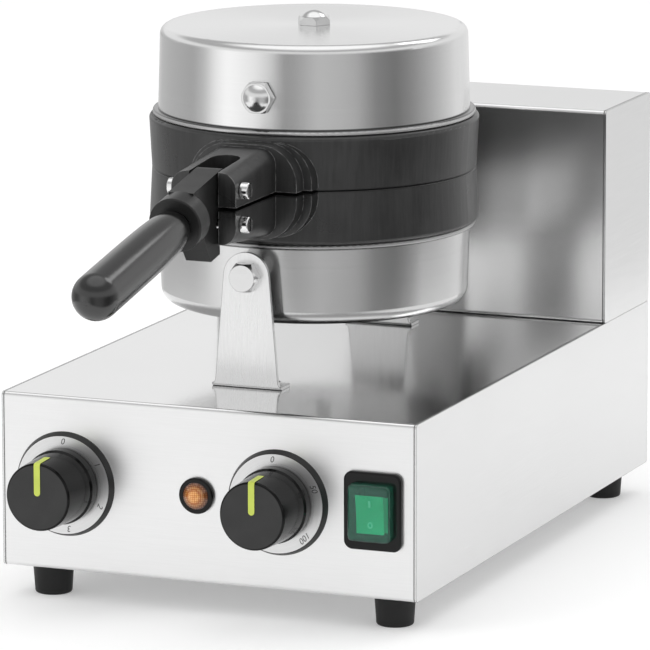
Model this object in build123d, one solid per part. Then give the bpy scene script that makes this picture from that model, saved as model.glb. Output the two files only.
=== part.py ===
from build123d import *
from math import atan2, cos, radians, sin, sqrt
import os

# Countertop press for filled round buns: a sheet-steel case on four feet, a tall wiring box at the
# back and a round two-part heated head with a hinged lid and a latch handle.
# Millimetres, +Z up, the control panel faces -Y. Everything is drawn with the control panel at Y = 0
# and moved at the end, so that the origin lies below the middle of the whole object.

# Clearances shared by all pieces
seam = 0.3
seat_gap = 0.3
screw_play = 0.2
shaft_play = 0.05
pin_play = 0.06
past = 9.0

# Case
case_width = 250.0
case_height = 100.0
sheet = 1.2
fold_radius = 2.4
lip = 10.0
box_depth = 80.0
box_height = 128.0
lid_room = 4.3
box_opening_width = 150.0
box_opening_depth = 46.0
vent_count = 6
vent_length = 46.0
vent_width = 5.0
vent_pitch = 15.0

# Feet and screws
foot_height = 18.5
foot_top_radius = 11.8
foot_bottom_radius = 10.5
foot_edge = 1.5
foot_spigot_radius = 8.0
foot_recess_radius = 5.5
foot_recess_depth = 9.25
foot_inset_x = 21.0
foot_inset_front = 22.0
foot_inset_back = 20.5
foot_screw_radius = 2.5
panel_screw_radius = 2.0
screw_bite = 3.6
bottom_screw_count = 3

# Head
head_from_panel = 160.0
shell_gap = 34.2
shell_wall = 1.0
shell_step_in = 5.2
shell_taper = 1.5
lower_shell_height = 47.2
lower_shell_edge = 8.0
lid_shell_height = 50.7
lid_shell_edge = 5.0
bead_step_in = 2.1
bead_height = 3.0
bead_edge = 1.35
ring_height = 30.7
ring_radius = 94.9
ring_taper = 1.6
ring_corner = 2.5
rim_bevel = 0.6
ring_wall = 6.0
plate_thickness = 11.0
dish_radius = 59.0
dish_slope = 8.0
dish_depth = 16.0
dish_wall = 8.0
seal_from_dish = 5.0
seal_width = 4.0
seal_height = 1.6
seal_play = 0.5

# Heaters, clamps and studs
heater_tube = 4.2
heater_from_dish = 10.0
heater_gap_angle = 30.0
heater_leg = 12.0
heater_leg_radius = 3.4
clamp_sheet = 2.0
clamp_from_ring = 4.9
clamp_bend = 1.0
clamp_slope = 7.0
stud_radius = 5.0
stud_bite = 4.8
stud_shoulder_radius = 9.0
stud_shoulder = 6.0
stud_past_nut = 1.5
bulb_radius = 3.0
bulb_length = 50.0
bulb_from_clamp_edge = 8.0
bulb_clip_sheet = 0.8
bulb_clip_width = 8.0
bulb_clip_foot = 2.6

# Front bosses, lugs and their pins
lug_gap = 1.8
boss_step_down = 3.9
boss_corner = 22.0
wide_boss_half_width = 37.0
wide_boss_rise = 0.1
narrow_boss_half_width = 32.0
narrow_boss_rise = 10.1
lug_length = 57.0
lug_step_down = 1.7
lug_drop = 4.9
lug_corner = 9.0
lug_ear = 10.5
slot_behind_pin = 21.2
pin_from_lug_end = 8.8
pin_half_spacing = 9.5
pin_radius = 3.0
pin_head_radius = 4.7
pin_head_length = 4.5
pin_head_edge = 0.6
pin_slot_width = 1.2
pin_slot_depth = 1.6

# Handle, drawn along its own axis from the pivot pin
handle_slope = 10.7
axis_drop = 4.5
block_half_width = 7.5
block_crown = 0.5
washer_sheet = 1.0
washer_radius = 6.0
collar_wall = 6.3
collar_rise = 0.8
collar_edge = 1.0
collar_front = 50.2
collar_length = 12.5
neck_behind_collar = 8.0
neck_height = 17.25
chin_out = 4.0
chin_height = 7.5
hook_floor = 15.5
hook_front = 22.8
hook_tip = 9.6
hook_swing = 15.0
hook_play = 0.6
grip_start_radius = 9.2
grip_end_radius = 13.2
grip_swell_start = 0.06
grip_swell_end = 0.25
grip_end = 156.6
grip_seat = 8.0
grip_stud_radius = 4.0
grip_stud_reach = 60.0
grip_stud_bite = 11.0

# Hinge at the back of the head
hinge_from_ring = 20.1
hinge_pin_radius = 4.0
hinge_pin_end = 3.0
knuckle_radius = 10.0
knuckle_half_width = 9.0
knuckle_play = 0.4
hinge_ear = 9.0
clip_radius = 6.5
clip_sheet = 1.2
clip_groove = 0.8
clip_slot = 3.0

# Brackets that carry the lower shell
bracket_sheet = 2.0
bracket_gap = 11.0
bracket_foot_half_width = 21.0
bracket_half_width = 19.0
bracket_flare = 4.0
bracket_top_radius = 13.8
bracket_foot = 13.0
bracket_bend = 1.8
bracket_bolt_rise = 29.8
bracket_screw_spacing = 28.0
bolt_radius = 5.0
bolt_head_flats = 16.0
bolt_head = 6.8
nut_flats = 17.0
nut_height = 8.0
nut_bevel = 1.0
cap_nut_hexagon = 4.8
cap_nut_height = 8.4
cap_dome_radius = 7.6
cap_hole_depth = 5.0
bolt_past_nut = 4.0
spacer_radius = 8.0
lid_nut_x = 3.0
lid_nut_rise = 21.3
lid_bolt_seat = 2.4

# Controls
control_height = 50.0
timer_from_side = 39.1
switch_from_side = 25.0
thermostat_from_switch = 57.0
lamp_from_thermostat = 48.6
bezel_radius = 30.0
bezel_taper = 1.6
bezel_height = 4.0
dial_inset = 0.4
dial_play = 0.1
dial_thickness = 0.5
dial_under_knob = 2.3
bezel_under_dial = 4.0
knob_gap = 0.6
knob_base_radius = 21.3
knob_step_in = 0.9
knob_step = 6.0
knob_step_slope = 1.5
knob_face_radius = 19.2
knob_height = 33.6
knob_edge = 1.6
knob_wall = 2.5
knob_hub_radius = 6.5
pointer_width = 3.7
pointer_length = 18.4
pointer_side = 14.0
pointer_rise = 0.25
shaft_radius = 3.0
bush_radius = 5.0
bush_length = 9.0
control_nut_flats = 14.0
control_nut_height = 2.4
timer_body_size = (46.0, 42.0, 34.0)
thermostat_body_size = (34.0, 34.0, 26.0)
control_body_edge = 2.0
shaft_in_body = 18.0
shaft_end_gap = 3.0
lamp_lens_radius = 7.6
lamp_rim = 2.7
lamp_bezel_height = 2.6
lamp_rim_edge = 1.0
lamp_dome = 3.2
lamp_body_radius = 6.5
lamp_body_length = 24.0
frame_rim_x = 4.5
frame_rim_z = 6.0
frame_thickness = 3.0
frame_floor = 1.0
frame_corner = 5.0
frame_edge = 1.2
cover_width = 25.0
cover_height = 32.0
cover_reach = 9.6
cover_wall = 1.0
cover_corner = 3.0
cover_edge = 2.0
rocker_width = 16.2
rocker_height = 22.0
rocker_reach = 6.6
rocker_hollow = 0.8
rocker_root = 3.0
rocker_root_height = 13.2
rocker_swing = 6.0
rocker_play = 0.3
rocker_end_play = 1.0
rocker_pivot_depth = 2.4
rocker_pin_radius = 1.4
rocker_pin_bite = 1.3
switch_pocket = 8.0
switch_body_depth = 24.0
switch_wall = 1.6

# Wiring inlets
gland_from_side = 55.0
gland_height = 45.0
gland_thread_radius = 7.8
gland_flats = 22.0
gland_hexagon = 6.0
gland_reach = 18.0
gland_inside = 8.0
cord_radius = 4.0
bushing_radius = 9.0
bushing_hole_radius = 5.0
bushing_neck_radius = 7.0
bushing_flange = 1.8
bushing_edge = 0.8
bushing_spacing = 44.0
bushing_from_gland = 10.0
bushing_angle = -135.0
terminal_size = (60.0, 22.0, 18.0)
terminal_from_back = 60.0
terminal_ways = 5
terminal_pitch = 11.0
terminal_hole_radius = 2.5
terminal_hole_depth = 6.0

# Worked-out places
half_width = case_width / 2
case_half = half_width - sheet - seam
case_bottom = foot_height
case_top = case_bottom + case_height
floor_z = case_bottom + 2 * sheet
box_top = case_top + box_height
head_y = head_from_panel
ring_front = head_y - ring_radius
ring_inside = ring_radius - ring_wall
ring_middle = ring_radius - ring_wall / 2
shell_rim_radius = ring_radius - shell_step_in
shell_end_radius = shell_rim_radius - shell_taper
lower_shell_bottom = case_top + shell_gap
ring_bottom = lower_shell_bottom + lower_shell_height
parting_z = ring_bottom + ring_height
ring_top = parting_z + ring_height
lid_top = ring_top + lid_shell_height
dish_floor_radius = dish_radius - dish_slope
seal_radius = dish_radius + seal_from_dish + seal_width / 2
heater_radius = dish_radius + dish_wall + heater_from_dish
clamp_radius = ring_inside - clamp_from_ring
dish_under = -dish_depth - dish_wall
heater_under = -plate_thickness - 2 * heater_tube - 2 * seat_gap
boss_height = ring_height - boss_step_down
lug_root_height = boss_height - lug_step_down
lug_end_height = lug_root_height - lug_drop
lug_root_y = ring_front - narrow_boss_rise
lug_end_y = lug_root_y - lug_length
lug_middle = parting_z + lug_gap / 2
slot_half_width = block_half_width + washer_sheet + seam
lug_half_width = slot_half_width + lug_ear
pin_y = lug_end_y + pin_from_lug_end
pivot_z = lug_middle + pin_half_spacing
catch_z = lug_middle - pin_half_spacing
collar_radius = grip_start_radius + collar_wall
collar_back = collar_front - collar_length
block_top = collar_radius + collar_rise - axis_drop - block_crown
hook_depth = 2 * pin_half_spacing + hook_floor
slope = radians(handle_slope)
hinge_y = head_y + ring_radius + hinge_from_ring
box_front = hinge_y + ring_height + lid_room
case_depth = box_front + box_depth
hinge_ear_start = knuckle_half_width + knuckle_play
hinge_ear_end = hinge_ear_start + hinge_ear
bracket_bolt_z = lower_shell_bottom + bracket_bolt_rise
shell_inside = shell_end_radius - shell_wall
bushing_sag = shell_inside - sqrt(shell_inside ** 2 - bushing_radius ** 2)
shell_groove = shell_wall + 2 * seat_gap + bushing_sag
control_z = case_bottom + control_height
timer_x = timer_from_side - half_width
switch_x = half_width - switch_from_side
thermostat_x = switch_x - thermostat_from_switch
lamp_x = thermostat_x - lamp_from_thermostat
dial_radius = bezel_radius - bezel_taper - dial_inset
dial_inner_radius = knob_base_radius - dial_under_knob
knob_inside = knob_height - 3 * knob_wall
lamp_bezel_radius = lamp_lens_radius + lamp_rim
rocker_room_width = rocker_width + 2 * rocker_play
rocker_room_height = rocker_height + 2 * rocker_end_play
switch_body_width = rocker_room_width + 2 * switch_wall
switch_body_height = rocker_room_height + 2 * switch_wall
gland_hole_radius = gland_thread_radius + screw_play
gland_x = gland_from_side - half_width
bushing_x = gland_x + bushing_from_gland
grip_reach = (grip_end + grip_end_radius) * cos(slope) - axis_drop * sin(slope) - pin_y
front_y = -(case_depth + gland_reach - grip_reach) / 2

LOW = (Align.CENTER, Align.CENTER, Align.MIN)
HIGH = (Align.CENTER, Align.CENTER, Align.MAX)


def save(name, *solids):
    moved = [Pos(0, front_y, 0) * solid for solid in solids]
    shape = moved[0] if len(moved) == 1 else Compound(children=moved)
    shape.label = name
    export_step(shape, f"parts/{name}.step")


# Plain solids

def rod_x(radius, x0, x1, y, z):
    return Pos((x0 + x1) / 2, y, z) * Rot(0, 90, 0) * Cylinder(radius, abs(x1 - x0))


def rod_y(radius, y0, y1, x, z):
    return Pos(x, (y0 + y1) / 2, z) * Rot(90, 0, 0) * Cylinder(radius, abs(y1 - y0))


def rod_z(radius, z0, z1, x, y):
    return Pos(x, y, min(z0, z1)) * Cylinder(radius, abs(z1 - z0), align=LOW)


def block(x0, x1, y0, y1, z0, z1):
    size = (abs(x1 - x0), abs(y1 - y0), abs(z1 - z0))
    return Pos((x0 + x1) / 2, (y0 + y1) / 2, (z0 + z1) / 2) * Box(*size)


def drill_x(radius, y, z):
    return rod_x(radius, -half_width, half_width, y, z)


def drill_y(radius, x, y, z):
    return rod_y(radius, y - past, y + past, x, z)


def drill_z(radius, x, y, z):
    return rod_z(radius, z - past, z + past, x, y)


def side_prism(points, x0, x1):
    """Closed outline of (y, z) points, extruded from x0 to x1."""
    face = make_face(Polyline(*points, close=True))
    return Pos(x0, 0, 0) * extrude(Plane.YZ * face, amount=x1 - x0)


def turned(points, y=0.0):
    """Closed outline of (radius, z) points, turned about a vertical axis."""
    face = make_face(Polyline(*points, close=True))
    return Pos(0, y, 0) * revolve(Plane.XZ * face, Axis.Z)


def hexagon_prism(flats, height):
    return extrude(RegularPolygon(flats / 2, 6, major_radius=False), amount=height)


def rounded_slab(width, height, corner, h0, h1):
    return Pos(0, 0, h0) * extrude(RectangleRounded(width, height, corner), amount=h1 - h0)


def round_edges(body, radius):
    """The round edges of one radius."""
    circles = body.edges().filter_by(GeomType.CIRCLE)
    return circles.filter_by(lambda e: abs(e.radius - radius) < 0.01)


def soften_top(body, radius):
    return fillet(body.edges().group_by(Axis.Z)[-1], radius)


def on_panel(x):
    """A frame on the control panel, with its own +Z pointing out of the panel."""
    return Plane(origin=(x, 0, control_z), x_dir=(1, 0, 0), z_dir=(0, -1, 0))


def shell_port(radius, angle, z):
    """A frame on the outside of a shell wall, pointing outwards at an angle from the front."""
    out = (sin(radians(angle)), -cos(radians(angle)), 0)
    along = (cos(radians(angle)), sin(radians(angle)), 0)
    return Plane(origin=(radius * out[0], head_y + radius * out[1], z), x_dir=along, z_dir=out)


# Sheet-metal case

def wrap(y0, y1, z0, z1):
    """A sheet folded over front, top and back, with lips turned in along the bottom."""
    profile = Plane.YZ * Pos((y0 + y1) / 2, (z0 + z1) / 2) * Rectangle(y1 - y0, z1 - z0)
    outer = extrude(profile, amount=case_half, both=True)
    outer = fillet(outer.edges().filter_by(Axis.X), fold_radius)
    inner = block(-case_half, case_half, y0 + sheet, y1 - sheet, z0 + sheet, z1 - sheet)
    inner = fillet(inner.edges().filter_by(Axis.X), fold_radius - sheet)
    mouth = block(-case_half, case_half, y0 + lip, y1 - lip, z0 - sheet, z0 + 2 * sheet)
    return outer - inner - mouth


def side_panel(side, y0, y1, z0, z1):
    """A flat side plate whose four turned-in flanges carry the folded sheet."""
    plate_x = side * (half_width - sheet)
    flange_x = side * (half_width - sheet - lip)
    plate = block(plate_x, side * half_width, y0, y1, z0, z1)
    plate = fillet(plate.edges().filter_by(Axis.X), fold_radius)
    flange = block(flange_x, plate_x, y0 + sheet, y1 - sheet, z0 + sheet, z1 - sheet)
    flange = fillet(flange.edges().filter_by(Axis.X), fold_radius - sheet)
    room = block(flange_x, plate_x, y0 + 2 * sheet, y1 - 2 * sheet, z0 + 2 * sheet, z1 - 2 * sheet)
    return plate + (flange - room)


def pan_screw(radius, length):
    """A cross-head screw: the head stands up from z = 0, the shank hangs below it."""
    head = soften_top(Cylinder(radius * 1.9, radius, align=LOW), radius * 0.6)
    arm = radius * 2.4
    cross = Box(arm, radius / 2, radius) + Box(radius / 2, arm, radius)
    return head - Pos(0, 0, radius) * cross + Cylinder(radius, length, align=HIGH)


def foot():
    body = Cone(foot_bottom_radius, foot_top_radius, foot_height, align=LOW)
    body = fillet(body.edges().group_by(Axis.Z)[0], foot_edge)
    body += Cylinder(foot_spigot_radius, floor_z, align=LOW)
    body -= Cylinder(foot_recess_radius, foot_recess_depth, align=LOW)
    return body - Cylinder(foot_screw_radius + screw_play, floor_z, align=LOW)


# Heated plates

def plate_blank():
    """One cast plate as a solid of revolution, cooking side up at z = 0, with its round dish."""
    body = turned([
        (0, -dish_depth),
        (dish_floor_radius, -dish_depth),
        (dish_radius, 0),
        (ring_radius - ring_taper - rim_bevel, 0),
        (ring_radius - ring_taper, -rim_bevel),
        (ring_radius, -ring_height),
        (ring_inside, -ring_height),
        (ring_inside, -plate_thickness),
        (dish_radius + dish_wall, -plate_thickness),
        (dish_floor_radius + dish_wall, dish_under),
        (0, dish_under),
    ], head_y)
    body = fillet(round_edges(body, ring_radius), ring_corner)
    body = fillet(round_edges(body, dish_floor_radius), dish_depth / 2)
    hole_top = dish_under + stud_bite + seam
    return body - rod_z(stud_radius + screw_play / 2, dish_under, hole_top, 0, head_y)


def seal(width, height):
    inner = seal_radius - width / 2
    outer = seal_radius + width / 2
    return turned([(inner, 0), (outer, 0), (outer, height), (inner, height)], head_y)


def arch(half, height, corner):
    """A flat-bottomed outline with two rounded upper corners."""
    straight = Rectangle(2 * half, height, align=(Align.CENTER, Align.MIN))
    return fillet(straight.vertices().group_by(Axis.Y)[-1], corner)


def boss(half, rise, bottom):
    """A raised pad on the front of the ring, running back to inside the ring."""
    front = ring_front - rise
    outline = Plane.XZ * arch(half, boss_height - bottom, boss_corner)
    return Pos(0, head_y, bottom) * extrude(outline, amount=head_y - front)


def front_lug():
    """The stepped bosses and the forked lug on the front of one plate, standing up from z = 0."""
    bottom = lug_gap / 2
    lug = boss(wide_boss_half_width, wide_boss_rise, bottom)
    lug += boss(narrow_boss_half_width, narrow_boss_rise, bottom)
    root = Plane.XZ * arch(lug_half_width, lug_root_height - bottom, lug_corner)
    end = Plane.XZ * arch(lug_half_width, lug_end_height - bottom, lug_corner)
    lug += loft([Pos(0, lug_root_y, bottom) * root, Pos(0, lug_end_y, bottom) * end], ruled=True)
    tall = 2 * ring_height
    slot_back = pin_y + slot_behind_pin
    lug -= block(-slot_half_width, slot_half_width, lug_end_y - past, slot_back, -tall, tall)
    lug -= rod_z(slot_half_width, -tall, tall, 0, slot_back)
    lug -= drill_x(pin_radius + pin_play, pin_y, pin_half_spacing)
    return lug - rod_z(ring_middle, -tall, tall, 0, head_y)


def knuckle(x0, x1, rise):
    """A hinge knuckle on the back of a plate, with the web that joins it to the ring."""
    web_start = head_y + ring_inside
    web = side_prism([
        (web_start, 0),
        (hinge_y, 0),
        (hinge_y, rise * knuckle_radius),
        (web_start, rise * boss_height),
    ], x0, x1)
    tall = 2 * ring_height
    keep_out = rod_z(ring_middle, -tall, tall, 0, head_y)
    return rod_x(knuckle_radius, x0, x1, hinge_y, 0) + (web - keep_out)


def knuckle_room(x0, x1):
    """Room for the other plate's knuckle to turn in."""
    return rod_x(knuckle_radius + knuckle_play, x0, x1, hinge_y, 0)


def lower_plate():
    lug = Pos(0, 0, lug_gap / 2) * mirror(front_lug(), about=Plane.XY)
    body = plate_blank() + seal(seal_width, seal_height) + lug
    body += knuckle(-knuckle_half_width, knuckle_half_width, -1)
    body -= drill_x(hinge_pin_radius + pin_play, hinge_y, 0)
    outer = hinge_ear_end + knuckle_play
    body -= knuckle_room(knuckle_half_width, outer) + knuckle_room(-outer, -knuckle_half_width)
    return Pos(0, 0, parting_z) * body


def upper_plate():
    groove = seal(seal_width + 2 * seal_play, seal_height + seal_play)
    lug = Pos(0, 0, lug_gap / 2) * front_lug()
    body = mirror(plate_blank(), about=Plane.XY) - groove + lug
    body += knuckle(hinge_ear_start, hinge_ear_end, 1) + knuckle(-hinge_ear_end, -hinge_ear_start, 1)
    body -= drill_x(hinge_pin_radius + pin_play, hinge_y, 0)
    body -= knuckle_room(-hinge_ear_start, hinge_ear_start)
    return Pos(0, 0, parting_z) * body


def heater():
    """A round tubular element with two straight legs that point away from the plate."""
    turn = 360 - heater_gap_angle
    section = Pos(heater_radius, 0, 0) * Rot(90, 0, 0) * Circle(heater_tube)
    ring = revolve(section, Axis.Z, revolution_arc=turn)
    leg = Sphere(heater_tube) + Cylinder(heater_leg_radius, heater_leg + heater_tube, align=HIGH)
    for angle in (0, turn):
        ring += Rot(0, 0, angle) * Pos(heater_radius, 0, 0) * leg
    drop = plate_thickness + heater_tube + seat_gap
    return Pos(0, head_y, -drop) * Rot(0, 0, 90 + heater_gap_angle / 2) * ring


def clamp():
    """A pressed steel plate that holds the heater against the casting."""
    hole = stud_radius + screw_play
    bend = dish_radius + dish_wall + clamp_bend
    step = bend - clamp_slope
    body = turned([
        (hole, dish_under),
        (step, dish_under),
        (bend, heater_under),
        (clamp_radius, heater_under),
        (clamp_radius, heater_under - clamp_sheet),
        (bend, heater_under - clamp_sheet),
        (step, dish_under - clamp_sheet),
        (hole, dish_under - clamp_sheet),
    ], head_y)
    for side in (-1, 1):
        angle = side * radians(heater_gap_angle / 2)
        x = heater_radius * sin(angle)
        y = head_y + heater_radius * cos(angle)
        body -= drill_z(heater_leg_radius + screw_play, x, y, heater_under)
    return body


def bulb_clip(y, z, seat_z):
    """A saddle strip that holds the thermostat's bulb up against the clamp plate."""
    half = bulb_clip_width / 2
    inner = bulb_radius + seam / 2
    outer = inner + bulb_clip_sheet
    reach = outer + bulb_clip_foot
    body = rod_x(outer, -half, half, y, z) + block(-half, half, y - outer, y + outer, z, seat_z)
    body += block(-half, half, y - reach, y + reach, seat_z - bulb_clip_sheet, seat_z)
    body -= rod_x(inner, -half, half, y, z)
    body -= block(-half, half, y - inner, y + inner, z, seat_z)
    return body - block(-half, half, y - outer, y + outer, seat_z, seat_z + outer)


def stud(end_z):
    """A shouldered stud in the middle of a plate; end_z is where it ends outside the shell."""
    seat = dish_under - clamp_sheet
    shank = rod_z(stud_radius, dish_under + stud_bite, end_z, 0, head_y)
    return shank + rod_z(stud_shoulder_radius, seat, seat - stud_shoulder, 0, head_y)


# Round shells around the plates

def pan(height, edge):
    """A dished round cover: open rim at z = 0 with a rolled bead, closed end at z = -height."""
    outer = Pos(0, 0, -height) * Cone(shell_end_radius, shell_rim_radius, height, align=LOW)
    outer = fillet(outer.edges().group_by(Axis.Z)[0], edge)
    inner = Pos(0, 0, shell_wall - height) * Cone(
        shell_end_radius - shell_wall, shell_rim_radius - shell_wall, height, align=LOW)
    inner = fillet(inner.edges().group_by(Axis.Z)[0], edge - shell_wall)
    bead = Pos(0, 0, -bead_height) * Cylinder(ring_radius - bead_step_in, bead_height, align=LOW)
    bead = fillet(bead.edges().filter_by(GeomType.CIRCLE), bead_edge)
    return outer + bead - inner


def shell_radius_at(from_end, height):
    """Outside radius of a shell at a distance from its closed end."""
    return shell_end_radius + (shell_rim_radius - shell_end_radius) * from_end / height


# Nuts and bolts

def cap_nut():
    """A domed hexagon nut on its seat at z = 0, with a blind hole for the stud."""
    corner = nut_flats / 2 / cos(radians(30))
    bevel = Cone(corner + nut_bevel, corner - nut_bevel, cap_nut_hexagon, align=LOW)
    rise = cap_nut_height - cap_nut_hexagon
    ball_radius = (cap_dome_radius ** 2 + rise ** 2) / (2 * rise)
    ball = Pos(0, 0, cap_nut_height - ball_radius) * Sphere(ball_radius)
    dome = Cylinder(cap_dome_radius, cap_nut_height, align=LOW) & ball
    body = (hexagon_prism(nut_flats, cap_nut_hexagon) & bevel) + dome
    return body - Cylinder(stud_radius + screw_play / 2, cap_hole_depth, align=LOW)


def hex_nut():
    body = hexagon_prism(nut_flats, nut_height)
    return body - Cylinder(bolt_radius + screw_play / 2, nut_height, align=LOW)


def hex_bolt(length):
    """A hexagon bolt: the head stands up from z = 0, the shank hangs below it."""
    corner = bolt_head_flats / 2 / cos(radians(30))
    bevel = Cone(corner + bolt_head / 4, corner - bolt_head / 4, bolt_head, align=LOW)
    head = hexagon_prism(bolt_head_flats, bolt_head) & bevel
    return head + Cylinder(bolt_radius, length, align=HIGH)


# Brackets, one in front of the lower shell and one behind it

class BracketPlaces:
    """The places along Y of one bracket and its bolt; side is -1 at the front and 1 at the back."""

    def __init__(self, side):
        self.side = side
        self.shell_y = head_y + side * shell_radius_at(bracket_bolt_rise, lower_shell_height)
        self.inner_y = self.shell_y + side * bracket_gap
        self.outer_y = self.inner_y + side * bracket_sheet
        self.bend_y = min(self.inner_y, self.outer_y)
        self.foot_y = self.bend_y + bracket_foot
        self.screw_y = self.bend_y + (bracket_sheet + bracket_foot) / 2

    def facing(self, y, outward=True):
        direction = self.side if outward else -self.side
        return Plane(origin=(0, y, bracket_bolt_z), x_dir=(1, 0, 0), z_dir=(0, direction, 0))


def bracket(places):
    """An upright tapered plate with a round top and a foot turned to the back."""
    lean = atan2(bracket_half_width - bracket_top_radius, bracket_bolt_z - case_top)
    shoulder_x = bracket_top_radius * cos(lean)
    shoulder_z = bracket_bolt_z + bracket_top_radius * sin(lean)
    outline = make_face(Polyline(
        (-bracket_foot_half_width, case_top),
        (bracket_foot_half_width, case_top),
        (bracket_half_width, case_top + bracket_flare),
        (shoulder_x, shoulder_z),
        (-shoulder_x, shoulder_z),
        (-bracket_half_width, case_top + bracket_flare),
        close=True))
    outline += Pos(0, bracket_bolt_z) * Circle(bracket_top_radius)
    body = Pos(0, places.bend_y + bracket_sheet, 0) * extrude(Plane.XZ * outline, amount=bracket_sheet)
    body += block(-bracket_foot_half_width, bracket_foot_half_width, places.bend_y, places.foot_y,
                  case_top, case_top + bracket_sheet)
    bend = body.edges().filter_by(Axis.X).filter_by(
        lambda e: abs(e.center().Y - places.bend_y) < 0.01 and abs(e.center().Z - case_top) < 0.01)
    body = fillet(bend, bracket_bend)
    body -= drill_y(bolt_radius + screw_play, 0, places.outer_y, bracket_bolt_z)
    for x in bracket_screw_x:
        body -= drill_z(panel_screw_radius + screw_play, x, places.screw_y, case_top)
    return body


def bracket_spacer(places):
    body = Cylinder(spacer_radius, bracket_gap - seat_gap, align=LOW)
    body -= Cylinder(bolt_radius + screw_play, bracket_gap, align=LOW)
    return places.facing(places.inner_y, outward=False) * body


def bracket_nut(places):
    """A nut inside the round shell, held off its wall by as much as the wall curves."""
    inside = abs(places.shell_y - head_y) - shell_wall
    corner = nut_flats / 2 / cos(radians(30))
    sag = shell_wall + inside - sqrt(inside ** 2 - corner ** 2)
    seat_y = places.shell_y - places.side * (sag + seat_gap)
    return places.facing(seat_y, outward=False) * hex_nut()


# Pins through the front lugs

def slotted_head():
    """A round slotted screw head with its flat seat at z = 0."""
    head = soften_top(Cylinder(pin_head_radius, pin_head_length, align=LOW), pin_head_edge)
    slot = Box(3 * pin_head_radius, pin_slot_width, 2 * pin_slot_depth)
    return head - Pos(0, 0, pin_head_length) * slot


def pin_screws(z):
    seat = lug_half_width + seam
    left = Pos(-seat, pin_y, z) * Rot(0, -90, 0) * slotted_head()
    right = Pos(seat, pin_y, z) * Rot(0, 90, 0) * slotted_head()
    return left, right


# Handle

def handle_place(u, w):
    """A point given along and above the handle's own axes, as (y, z) at rest."""
    y = pin_y - u * cos(slope) - w * sin(slope)
    z = pivot_z - u * sin(slope) + w * cos(slope)
    return y, z


def handle_frame(u):
    """A frame on the grip's axis, with its own +Z pointing to the free end."""
    y, z = handle_place(u, -axis_drop)
    return Plane(origin=(0, y, z), x_dir=(1, 0, 0), z_dir=(0, -cos(slope), -sin(slope)))


def latch_block():
    """The cast block: an eye on the pivot pin, a hook below and a collar that holds the grip."""
    outline = [
        (0, block_top),
        (collar_back + collar_edge, block_top),
        (collar_back + collar_edge, -axis_drop - grip_end_radius),
        (collar_back - neck_behind_collar, -neck_height),
        (hook_front + chin_out, chin_height - hook_depth),
        (hook_front, -hook_depth),
        (hook_tip, -hook_depth),
        (hook_tip, -2 * pin_half_spacing),
        (0, -2 * pin_half_spacing),
        (-block_top, 0),
    ]
    body = side_prism([handle_place(u, w) for u, w in outline], -block_half_width, block_half_width)
    body += rod_x(block_top, -block_half_width, block_half_width, pin_y, pivot_z)
    body += handle_frame(collar_back) * Pos(0, collar_rise, 0) * Cylinder(
        collar_radius, collar_length, align=LOW)
    body = fillet(round_edges(body, collar_radius).sort_by(Axis.Y)[0], collar_edge)
    body -= throat()
    body -= drill_x(pin_radius + pin_play, pin_y, pivot_z)
    body -= handle_frame(collar_front - grip_seat) * Cylinder(
        grip_start_radius + screw_play, 2 * grip_seat, align=LOW)
    return body - handle_frame(collar_front - grip_seat - grip_stud_bite - seam) * Cylinder(
        grip_stud_radius + screw_play / 2, 2 * grip_stud_bite, align=LOW)


def throat():
    """The slot that the catch pin takes as the handle swings down, open to the back."""
    swing = 2 * pin_half_spacing
    wide = pin_radius + hook_play
    reach = 3 * swing
    stop = radians(hook_swing)
    ring = drill_x(swing + wide, pin_y, pivot_z) - drill_x(swing - wide, pin_y, pivot_z)
    sector = side_prism([
        (pin_y, pivot_z),
        (pin_y - reach * sin(stop), pivot_z - reach * cos(stop)),
        (pin_y + reach, pivot_z - reach),
        (pin_y + reach, pivot_z),
    ], -half_width, half_width)
    end = drill_x(wide, pin_y - swing * sin(stop), pivot_z - swing * cos(stop))
    behind_tip = block(-half_width, half_width, pin_y - wide, pin_y + reach, catch_z, catch_z - reach)
    return (ring & sector) + end + behind_tip


def grip():
    """The moulded grip: a straight seat in the collar, a swelling stem and a domed end."""
    start = collar_front - grip_seat + seat_gap
    length = grip_end - start
    stem = length - grip_seat
    swell = Bezier(
        (grip_start_radius, grip_seat),
        (grip_end_radius, grip_seat + grip_swell_start * stem),
        (grip_end_radius, grip_seat + grip_swell_end * stem),
        (grip_end_radius, length))
    core = Polyline((grip_end_radius, length), (0, length), (0, 0), (grip_start_radius, 0),
                    (grip_start_radius, grip_seat))
    body = revolve(Plane.XZ * make_face(swell + core), Axis.Z)
    body += Pos(0, 0, length) * Sphere(grip_end_radius)
    return handle_frame(start) * (
        body - Cylinder(grip_stud_radius + screw_play / 2, grip_stud_reach, align=LOW))


def grip_stud():
    start = collar_front - grip_seat - grip_stud_bite
    length = grip_stud_bite + grip_stud_reach - seam
    return handle_frame(start) * Cylinder(grip_stud_radius, length, align=LOW)


def pivot_washer(side):
    x0 = side * (block_half_width + seam / 2)
    x1 = side * (slot_half_width - seam / 2)
    washer = rod_x(washer_radius, x0, x1, pin_y, pivot_z)
    return washer - drill_x(pin_radius + pin_play, pin_y, pivot_z)


# Hinge pin

def hinge_pin():
    """The pin with a groove at each end for a spring clip."""
    half = hinge_ear_end + clip_sheet + hinge_pin_end
    pin = rod_x(hinge_pin_radius, -half, half, hinge_y, parting_z)
    for side in (-1, 1):
        pin -= clip_ring(side, hinge_pin_radius + past, hinge_pin_radius - clip_groove)
    return pin


def clip_ring(side, outer, inner):
    x0 = side * (hinge_ear_end + seat_gap)
    x1 = x0 + side * clip_sheet
    ring = rod_x(outer, x0, x1, hinge_y, parting_z)
    return ring - rod_x(inner, x0, x1, hinge_y, parting_z)


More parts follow.
